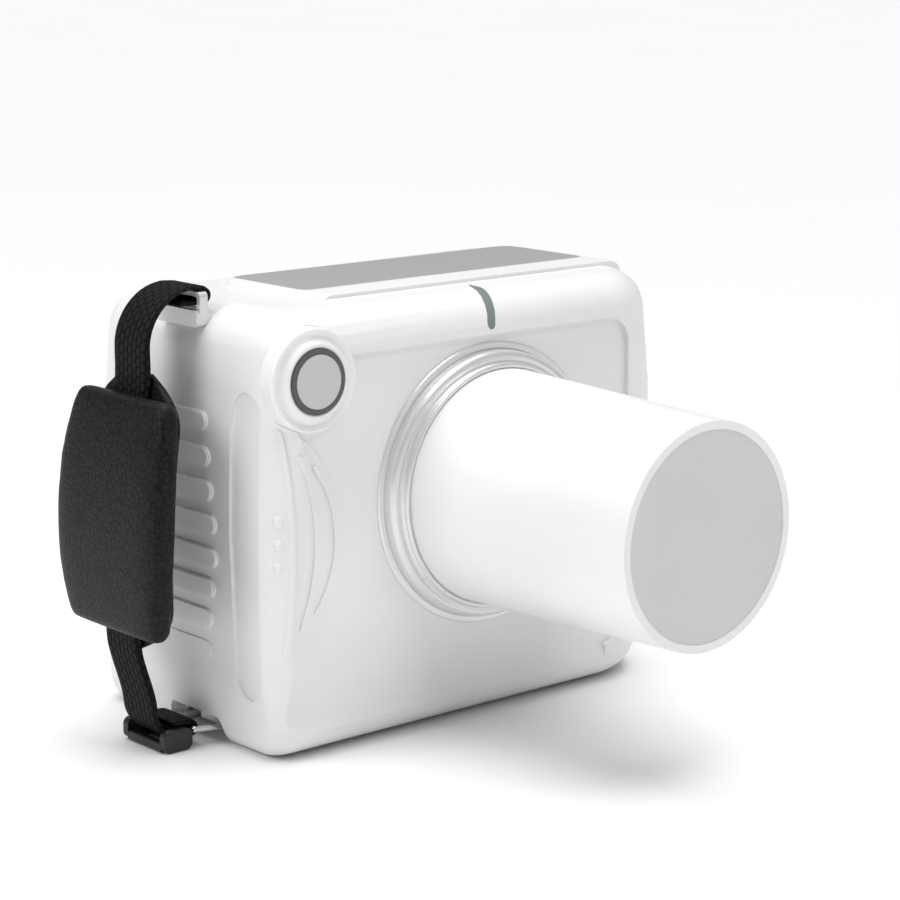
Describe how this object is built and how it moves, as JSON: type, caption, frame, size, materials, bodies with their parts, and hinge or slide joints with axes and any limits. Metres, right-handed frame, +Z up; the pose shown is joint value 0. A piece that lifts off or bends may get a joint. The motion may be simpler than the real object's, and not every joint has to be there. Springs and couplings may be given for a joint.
{
  "type": "handheld intraoral x-ray unit",
  "caption": "Handheld dental x-ray unit: camera-shaped white housing, round position cone, exposure button, top display and padded side hand strap.",
  "frame": {"origin": "mouth of the tripod thread, on the unit's centre line, 1.7 mm above the plane of the foot pads", "axes": "-Y towards the cone's open end, +Z up, +X to the right when looking along +Y from the cone's end; the hand strap is on -X"},
  "size_m": [0.1903, 0.1854, 0.1343],
  "materials": {
    "housing_white": "satin moulded ABS",
    "cone_white": "smooth satin-gloss moulding",
    "ring_silver": "satin plated",
    "lead": "dull lead sheet",
    "window_grey": "plain matt",
    "light_ring": "dark translucent",
    "button_grey": "matt",
    "silicone": "soft matt",
    "switch_black": "moulded",
    "board_green": "circuit board",
    "light_green": "translucent light guide",
    "display_grey": "smooth cover",
    "module_dark": "matt",
    "lug_silver": "silver white",
    "webbing": "braided webbing",
    "pad_leather": "coarse pebble grain",
    "buckle_black": "moulded acetal",
    "steel": "plain",
    "wire_chrome": "bright",
    "brass": "turned",
    "aluminium": "plain",
    "glass": "clear",
    "copper": "copper",
    "battery_blue": "shrink sleeve"
  },
  "bodies": {
    "housing": {"front_shell": "housing_white", "rear_shell": "housing_white", "trim_ring": "ring_silver", "cone_base": "cone_white", "button_bezel": "cone_white", "button_light_ring": "light_ring", "button_dome": "silicone", "exposure_switch": "switch_black", "button_board": "board_green", "status_light": "light_green", "light_board": "board_green", "display_cover": "display_grey", "display_module": "module_dark", "main_board": "board_green", "strap_lug": "lug_silver", "lug_plate": "steel", "strap_webbing": "webbing", "strap_lower": "webbing", "ring_clip": "steel", "clip_screws": "steel", "foot_pads": "silicone", "tripod_insert": "brass", "housing_screws": "steel", "power_dome": "silicone", "power_switch": "board_green", "charge_socket": "switch_black", "chassis": "aluminium", "tube_tank": "aluminium", "tank_lid": "aluminium", "tube_envelope": "glass", "tube_anode": "copper", "tube_cathode": "steel", "beam_collimator": "lead", "beam_filter": "aluminium", "hv_module": "module_dark", "battery_pack": "battery_blue", "speaker": "switch_black"},
    "exposure_cap": {"exposure_button": "button_grey"},
    "power_cap": {"power_button": "light_ring"},
    "cone": {"position_cone": "cone_white", "cone_liner": "lead", "cone_window": "window_grey"},
    "pad": {"strap_pad": "pad_leather", "strap_tongue": "pad_leather"},
    "ring": {"d_ring": "wire_chrome", "strap_loop": "webbing", "strap_slider": "buckle_black"}
  },
  "joints": [
    {"name": "exposure_press", "type": "slide", "parent": "housing", "child": "exposure_cap", "axis": [0, 1, 0], "range_m": [0, 0.0012], "stiffness_N_per_m": 1500, "springref_m": -0.001, "deforming": ["button_dome"]},
    {"name": "power_press", "type": "slide", "parent": "housing", "child": "power_cap", "axis": [0, -1, 0], "range_m": [0, 0.0008], "stiffness_N_per_m": 1800, "springref_m": -0.001, "deforming": ["power_dome"]},
    {"name": "cone_pull", "type": "slide", "parent": "housing", "child": "cone", "axis": [0, -1, 0], "range_m": [0, 0.016]},
    {"name": "pad_slide", "type": "hinge", "parent": "housing", "child": "pad", "pos_m": [0.1993, -0.001, 0.0476], "axis": [0, 1, 0], "range_deg": [-1, 1]},
    {"name": "ring_pivot", "type": "hinge", "parent": "housing", "child": "ring", "pos_m": [-0.0705, -0.006, 0.0022], "axis": [0, 1, 0], "range_deg": [0, 10], "deforming": ["strap_lower"]}
  ]
}
